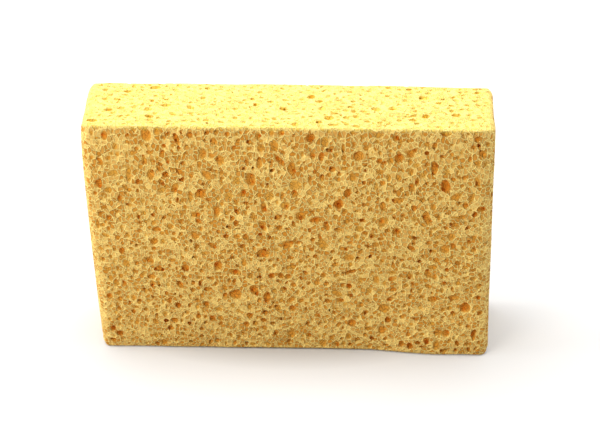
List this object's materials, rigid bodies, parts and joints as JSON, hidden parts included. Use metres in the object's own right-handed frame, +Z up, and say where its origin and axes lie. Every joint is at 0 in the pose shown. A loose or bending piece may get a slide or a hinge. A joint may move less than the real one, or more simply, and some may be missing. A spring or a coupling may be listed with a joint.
{
  "type": "grout sponge",
  "caption": "Rectangular block of open-celled yellow cellulose sponge for wiping down grout and tile, standing on its long narrow side.",
  "frame": {"origin": "on the surface that the block stands on, under the middle of its bounding box", "axes": "+Z up, +X along the length towards the end that the picture shows on the right, -Y out of the broad front that the picture shows"},
  "size_m": [0.1904, 0.0618, 0.111],
  "materials": {
    "cellulose": "matte, open-celled, dry"
  },
  "bodies": {
    "root": {"sponge": "cellulose"}
  },
  "joints": []
}
